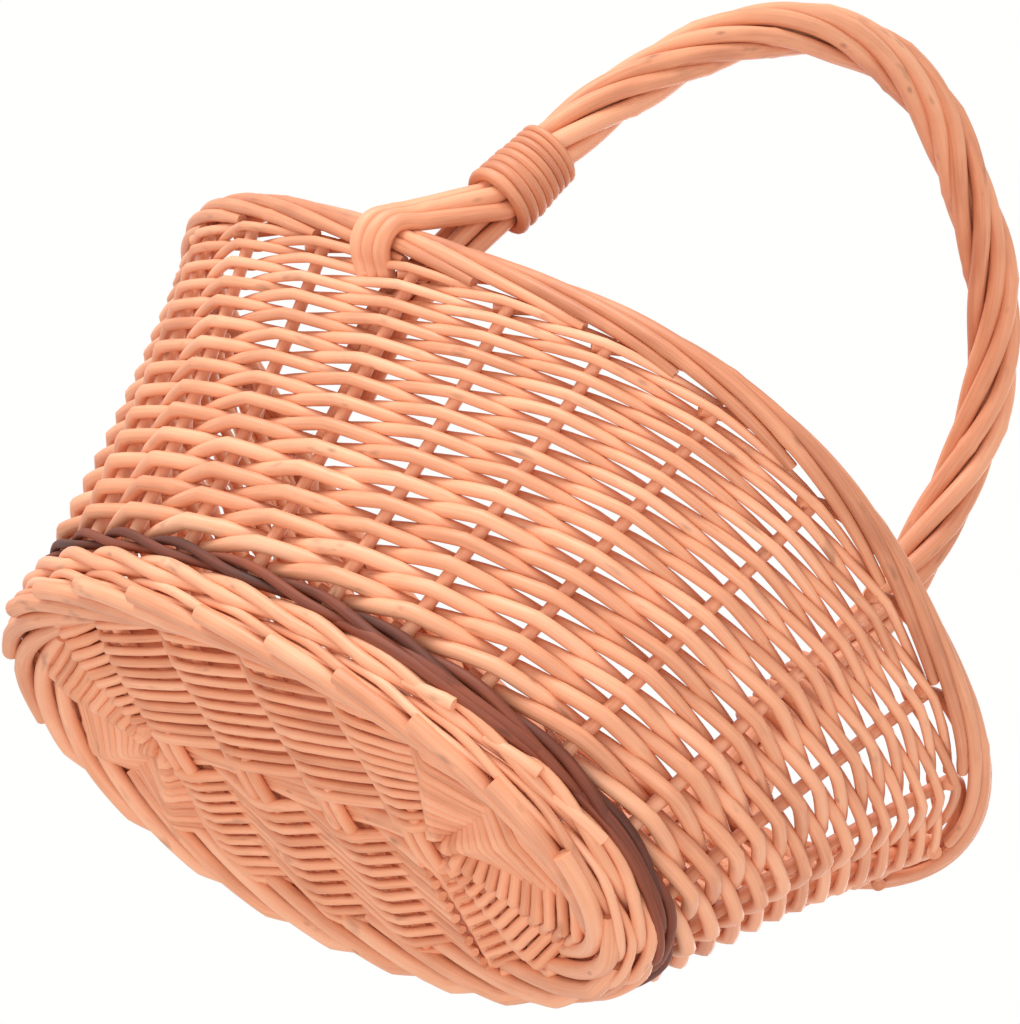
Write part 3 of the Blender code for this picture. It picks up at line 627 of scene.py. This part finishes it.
def wale(low, high, radius, first, lift, swell):
    """Three rods that pass outside two stakes and inside the third, one stake apart."""
    rods = []
    for strand in range(3):
        at = np.arange(0, STAKE_COUNT + 2.01, 0.125)
        phase = np.mod(at, 3)
        outs = through(
            [0, 0.75, 1, 1.5, 2, 2.25, 3],
            [-1, 0.75, 1.05, 1.15, 1.05, 0.75, -1], phase,
        ) * (STAKE_RADIUS + radius)
        rise = through([0, 1, 2, 3], [0.1, 0.5, -0.5, 0.1], phase) * lift
        level = low + (high - low) * 0.5 + rise
        share = stake_share(first + strand + at)
        swelling = np.interp(np.mod(first + strand + at, STAKE_COUNT), *swell)
        taper = np.linspace(1.04, 0.86, len(at)) * swelling
        rods.append((beside_stakes(share, level, outs), radius * taper, chance.random()))
    return rods


EVEN = ((0, STAKE_COUNT), (1, 1))
light_rods = wale(-0.036, 0.008, 0.0020, 5, 0.030, EVEN) + wale(0.010, 0.070, 0.0027, 6, 0.034, EVEN)
# Three short ends show outside, at the right
for stake in (19.97, 20.97, 21.82):
    at = np.linspace(-0.6, 0, 12)
    outs = np.interp(at, [-0.6, -0.3, 0], [0.0045, 0.0076, 0.0086])
    path = beside_stakes(stake_share(stake + at), 0.030 + 0.016 * (1 + at / 0.6), outs)
    light_rods.append((path, np.linspace(0.0022, 0.0026, 12), chance.random()))
lay_rods("light_wale_rods", light_rods, SIDE_WILLOW, ["light_wale"], sides=12)
# The dark rods are thin at the left and thicker toward the right
DARK_SWELL = ((0, 3, 8, 15, 18, 20, 23), (1, 0.9, 0.76, 0.76, 0.9, 1.05, 1))
dark_rods = wale(0.072, 0.128, 0.0024, 9, 0.034, DARK_SWELL)
dark_rods = [(path, thickness, tone) for (path, thickness, _), tone in zip(dark_rods, (0.12, 0.9, 0.5))]
# Two more dark rods lie over them at the right
for start, end, height, tone in ((18.2, 24.3, 0.074, 1.0), (18.9, 23.6, 0.088, 0.7)):
    at = np.arange(start, end, 0.125)
    outs = 0.0072 - 0.0050 * np.cos(2 * math.pi * (at - start) / (end - start)) ** 8
    level = height + 0.006 * np.sin(at * 2.1)
    thickness = np.linspace(0.0025, 0.0019, len(at))
    dark_rods.append((beside_stakes(stake_share(at), level, outs), thickness, tone))
lay_rods("dark_wale_rods", dark_rods, DARK_WILLOW, ["dark_wale"], sides=12)


# Side weave. Each of the 23 weavers starts behind its own stake and climbs one row at
# every stake, outside one and inside the next, so all the rods of a row do the same.
RANDING_ROWS = 28
RANDING_LOW, RANDING_HIGH, RANDING_TAPER = 0.131, 1.012, 0.28
# At a stake the rods outside and inside it settle toward one height, by this share of a row
SETTLED = 0.18
# Near 1 the rods run straight from stake to stake, and lower they wave
BEND = 0.998
weavers = []
for stake in range(STAKE_COUNT):
    at = np.arange(-0.25, RANDING_ROWS + 0.01, 0.125)
    row = np.clip(at + 0.1, 0, RANDING_ROWS) / RANDING_ROWS
    level = RANDING_LOW + (RANDING_HIGH - RANDING_LOW) * (row + RANDING_TAPER * row * (1 - row))
    drift = np.interp(at, np.arange(-1, 35), [chance.uniform(-0.0030, 0.0030) for _ in range(36)])
    radius = np.linspace(0.0033, 0.0018, len(at)) * chance.uniform(0.95, 1.05)
    zigzag = np.arcsin(BEND * np.cos(math.pi * at)) / math.asin(BEND)
    level -= SETTLED * np.clip(0.45 + row, 0, 1) * zigzag * np.gradient(level, at)
    outs = -zigzag * (STAKE_RADIUS + radius)
    share = stake_share(stake + at)
    weavers.append((beside_stakes(share, np.clip(level + drift, 0, 1.02), outs), radius, chance.random()))
lay_rods("side_weavers", weavers, SIDE_WILLOW, ["side_weave"], sides=9, unevenness=0.12)


# Border. Above the weave every stake is bent over to the right and laid down with its
# neighbours: inside, over the top and down the outside, to a cut end under the border.
RIM_REACH = 0.0052
RIM_TURN = [(-0.12, 0.0, -0.0115)]
for at, turned in (
    (0.2, 188), (0.55, 150), (0.9, 118), (1.3, 92), (2.0, 60), (2.7, 30), (3.4, -4), (4.0, -34), (4.5, -58),
):
    turned = math.radians(turned)
    RIM_TURN.append((at, RIM_REACH * math.cos(turned), RIM_REACH * 1.1 * math.sin(turned)))
RIM_TURN.append((4.9, 0.0008, -0.0060))
RIM_TURN = np.array(RIM_TURN)
BORDER_WILLOW = willow(
    "border_willow", (0.46, 0.148, 0.070), (0.68, 0.268, 0.135), (0.82, 0.370, 0.205), 0.52,
)
border_rods = []
for stake in range(STAKE_COUNT):
    at = np.linspace(-0.12, 4.8 + chance.uniform(-0.1, 0.1), 56)
    outs = through(RIM_TURN[:, 0], RIM_TURN[:, 1], at)
    ups = through(RIM_TURN[:, 0], RIM_TURN[:, 2], at)
    path = laid_round(RIM_OVAL, rim_height, stake_share(stake) + at / STAKE_COUNT, outs, ups)
    thickness = np.interp(at, [-0.1, 1.5, 3.4, 4.8], [0.0027, 0.0030, 0.0028, 0.0021])
    border_rods.append((path, thickness, chance.random()))
lay_rods("border_rods", border_rods, BORDER_WILLOW, ["rim_border"], sides=14)


# Handle. Six rods are twisted round a bow that is pushed down inside the weave at the
# middle of each long side. Below the lashings three of them hook over the border and
# three run down inside beside the bow.
HANDLE_WILLOW = willow(
    "handle_willow", (0.54, 0.180, 0.088), (0.77, 0.318, 0.165), (0.88, 0.420, 0.240), 0.52,
)
BOW_HALF_SPAN = 0.140
BOW_RISE = 0.233
BOW_ROUNDING = 2.77
BOW_RADIUS = 0.0035


def bow_point(angle):
    y = -BOW_HALF_SPAN * math.copysign(abs(math.cos(angle)) ** (2 / BOW_ROUNDING), math.cos(angle))
    return (0, y, RIM_HEIGHT + BOW_RISE * abs(math.sin(angle)) ** (2 / BOW_ROUNDING))


def leg_points(share):
    levels = np.array([0.52, 0.64, 0.76, 0.88])
    return beside_stakes(np.full(4, share), levels, np.full(4, -0.0058))


near_leg = leg_points(0.75)
far_leg = leg_points(0.25)[::-1]
arch = np.array([bow_point(0.035 + (math.pi - 0.07) * step / 40) for step in range(41)])
bow = smooth_path(np.vstack([near_leg, arch, far_leg]), 6)
# The bow stands a little askew at its feet, and its top is a little pointed
askew = np.interp(bow[:, 2], [0.110, 0.160, 0.180, 0.250], [0.005, 0.007, 0.005, 0])
bow[:, 0] -= np.sign(bow[:, 1]) * askew
bow[:, 1] -= np.sign(bow[:, 1]) * np.interp(bow[:, 2], [0.170, 0.205, 0.260], [0, 0.002, 0])
for place, spread, rise in ((-0.020, 0.036, 0.004), (-0.100, 0.030, -0.0015), (0.080, 0.040, -0.001)):
    bow[:, 2] += rise * np.exp(-((bow[:, 1] - place) / spread) ** 2)
bow_travelled = np.concatenate([[0], np.cumsum(np.linalg.norm(np.diff(bow, axis=0), axis=1))])
BOW_LENGTH = bow_travelled[-1]


def on_bow(distance):
    return np.stack([np.interp(distance, bow_travelled, bow[:, axis]) for axis in range(3)], axis=1)


def bow_outward(distance):
    ahead = on_bow(np.minimum(BOW_LENGTH, distance + 0.003)) - on_bow(np.maximum(0, distance - 0.003))
    return unit(np.stack([0 * ahead[:, 0], -ahead[:, 2], ahead[:, 1]], axis=1))


def beside_bow(distance, angle, reach):
    """Points round the bow: angle 0 is on the outside of the arch and a quarter turn is +X."""
    distance = np.asarray(distance, float)
    cosine = np.cos(angle)[:, None]
    sine = np.sin(angle)[:, None]
    aside = bow_outward(distance) * cosine + np.array([[1, 0, 0]]) * sine
    return on_bow(distance) + np.asarray(reach) * aside


middle = len(bow) // 2
split_height = 0.192
near_split = float(np.interp(split_height, bow[:middle, 2], bow_travelled[:middle]))
far_split = float(np.interp(split_height, bow[middle:, 2][::-1], bow_travelled[middle:][::-1]))
ROD_RADIUS = 0.0035
TWIST_REACH = 0.0071
TWIST_STEPS = 19
# Of the six rods round the bow, these three are hooked over the border at each end
HOOKED = {-1: (5, 0, 1), 1: (0, 5, 4)}
HOOK_PLACES = (0.012, 0.0053, -0.0014)
# The middle of the border under the hooks, at each end of the handle
HOOK_RIM = {-1: RIM_WIDTH, 1: 0.148}
HOOK_TURN = (5, -25, -55, -88)
HOOK_END_HEIGHT = 0.1385


def hook(turned, start, end):
    """Straight from the lashing to the border, over it and in under it."""
    across = end * HOOK_PLACES[HOOKED[end].index(turned)]
    rim = HOOK_RIM[end]
    reach = RIM_REACH + 0.0020 + ROD_RADIUS
    corners = [start]
    for angle in HOOK_TURN:
        out = end * (rim + reach * math.cos(math.radians(angle)))
        corners.append(np.array([across, out, RIM_HEIGHT + reach * math.sin(math.radians(angle))]))
    corners.insert(1, corners[0] * 0.6 + corners[1] * 0.4)
    corners.insert(2, corners[0] * 0.25 + corners[2] * 0.75)
    corners.append(np.array([across - end * 0.002, end * (rim - 0.006), HOOK_END_HEIGHT]))
    return smooth_path(corners, 6)


handle_rods = []
for slot in range(6):
    steps = 150
    distance = np.linspace(near_split, far_split, steps)
    angle = (slot + 0.5 + TWIST_STEPS * np.linspace(0, 1, steps)) * math.pi / 3
    wander = np.sin(np.linspace(0, math.pi, steps)) ** 0.5
    angle += wander * 0.16 * np.sin(np.linspace(0, 9, steps) + 6 * chance.random())
    loose = wander * 0.0006 * np.sin(np.linspace(0, 14, steps) + 6 * chance.random())
    twist = beside_bow(distance, angle, TWIST_REACH + loose[:, None])
    path = [twist]
    for end, split, turned in ((-1, near_split, slot), (1, far_split, (slot + TWIST_STEPS) % 6)):
        start = twist[0] if end < 0 else twist[-1]
        if turned in HOOKED[end]:
            leg = hook(turned, start, end)
        else:
            cut_end = 0.008 * turned
            last = cut_end if end < 0 else BOW_LENGTH - cut_end
            distances = np.linspace(split, last, 24)
            leg = beside_bow(distances, np.full(24, (turned + 0.5) * math.pi / 3), TWIST_REACH)
        if end < 0:
            path.insert(0, leg[:0:-1])
        else:
            path.append(leg[1:])
    handle_rods.append((np.vstack(path), ROD_RADIUS * chance.uniform(0.94, 1.06), chance.random()))
lay_rods(
    "handle_twist", handle_rods, HANDLE_WILLOW,
    [f"handle_rod_{slot + 1}" for slot in range(6)], sides=16,
)
core = on_bow(np.linspace(0, BOW_LENGTH, 90))
lay_rods(
    "handle_bow", [(core, BOW_RADIUS, 0.4)], HANDLE_WILLOW, ["handle_core"],
    sides=14, unevenness=0.05,
)

# Lashings. A thinner rod is wound tightly round the foot of the twist at each end, eight
# times, with its thick end at the foot, and its ends are tucked in.
LASHING_TURNS = 8
POINTS_PER_TURN = 28
for end, start, name in ((-1, near_split + 0.001, "near"), (1, far_split - 0.001, "far")):
    at = np.linspace(-0.12, LASHING_TURNS + 0.1, LASHING_TURNS * POINTS_PER_TURN)
    thickness = np.interp(at, [0, 2.5, 5, LASHING_TURNS], [0.0026, 0.0024, 0.0019, 0.0017])
    travelled = np.concatenate([[0], np.cumsum(np.diff(at) * (thickness[1:] + thickness[:-1]) * 0.97)])
    sway = 0.0011 * np.sin(2 * math.pi * at + 0.6)
    tucked = 0.0024 * (np.maximum(0, -at) / 0.12 + np.maximum(0, at - LASHING_TURNS) / 0.1)
    reach = TWIST_REACH + ROD_RADIUS + thickness * 0.75 - tucked
    path = beside_bow(start - end * (travelled + sway), 2 * math.pi * at - 2.2, reach[:, None])
    lay_rods(
        "lashing_" + name + "_end", [(path, thickness, 0.3)], BORDER_WILLOW,
        ["lashing_" + name], sides=12,
    )
